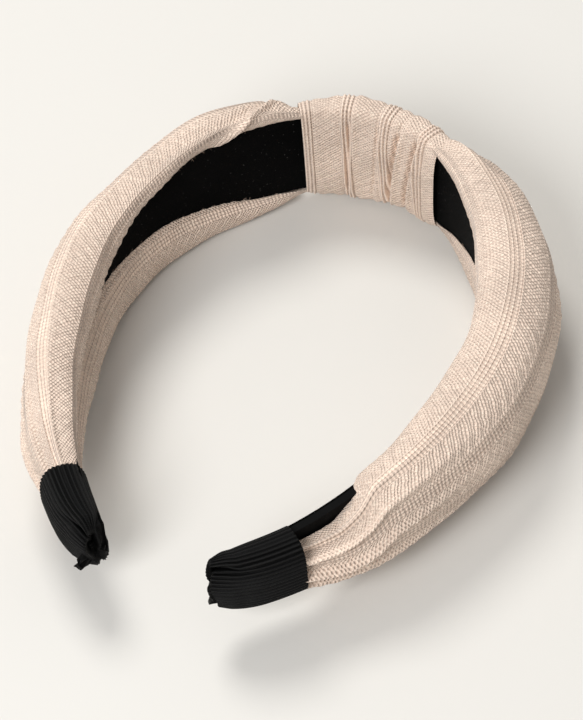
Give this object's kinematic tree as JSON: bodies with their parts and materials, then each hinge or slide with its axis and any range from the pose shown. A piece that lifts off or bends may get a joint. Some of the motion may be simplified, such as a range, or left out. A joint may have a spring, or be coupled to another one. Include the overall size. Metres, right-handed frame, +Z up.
{
  "type": "knotted headband",
  "caption": "Wide knit-covered sprung headband with a knot at the crown, a dark lining on its inner face and ribbon caps on both ends.",
  "frame": {"origin": "under the middle of the hoop's outline, on the surface it stands on", "axes": "+X across the opening, +Y from the ends towards the knot at the crown, +Z up along the width of the band"},
  "size_m": [0.1352, 0.1694, 0.0409],
  "materials": {
    "knit": "ribbed knit, oatmeal pink",
    "lining": "short-pile velvet, black",
    "ribbon": "fine-ribbed grosgrain, black",
    "wadding": "loose polyester wadding",
    "plastic": "black sprung plastic"
  },
  "bodies": {
    "crown": {"core_crown": "plastic", "lining_crown": "lining", "knot_wrap": "knit", "knot_front": "knit"},
    "arm_left": {"core_left": "plastic", "lining_left": "lining", "wadding_left": "wadding", "cover_left": "knit", "cap_left": "ribbon"},
    "arm_right": {"core_right": "plastic", "lining_right": "lining", "wadding_right": "wadding", "cover_right": "knit", "cap_right": "ribbon"}
  },
  "joints": [
    {"name": "spread_left", "type": "hinge", "parent": "crown", "child": "arm_left", "pos_m": [-0.01697, 0.07015, 0.0201], "axis": [0, 0, -1], "range_deg": [-4, 18], "stiffness_Nm_per_rad": 1.5},
    {"name": "spread_right", "type": "hinge", "parent": "crown", "child": "arm_right", "pos_m": [0.01697, 0.07015, 0.0201], "axis": [0, 0, 1], "range_deg": [-4, 18], "stiffness_Nm_per_rad": 1.5}
  ]
}
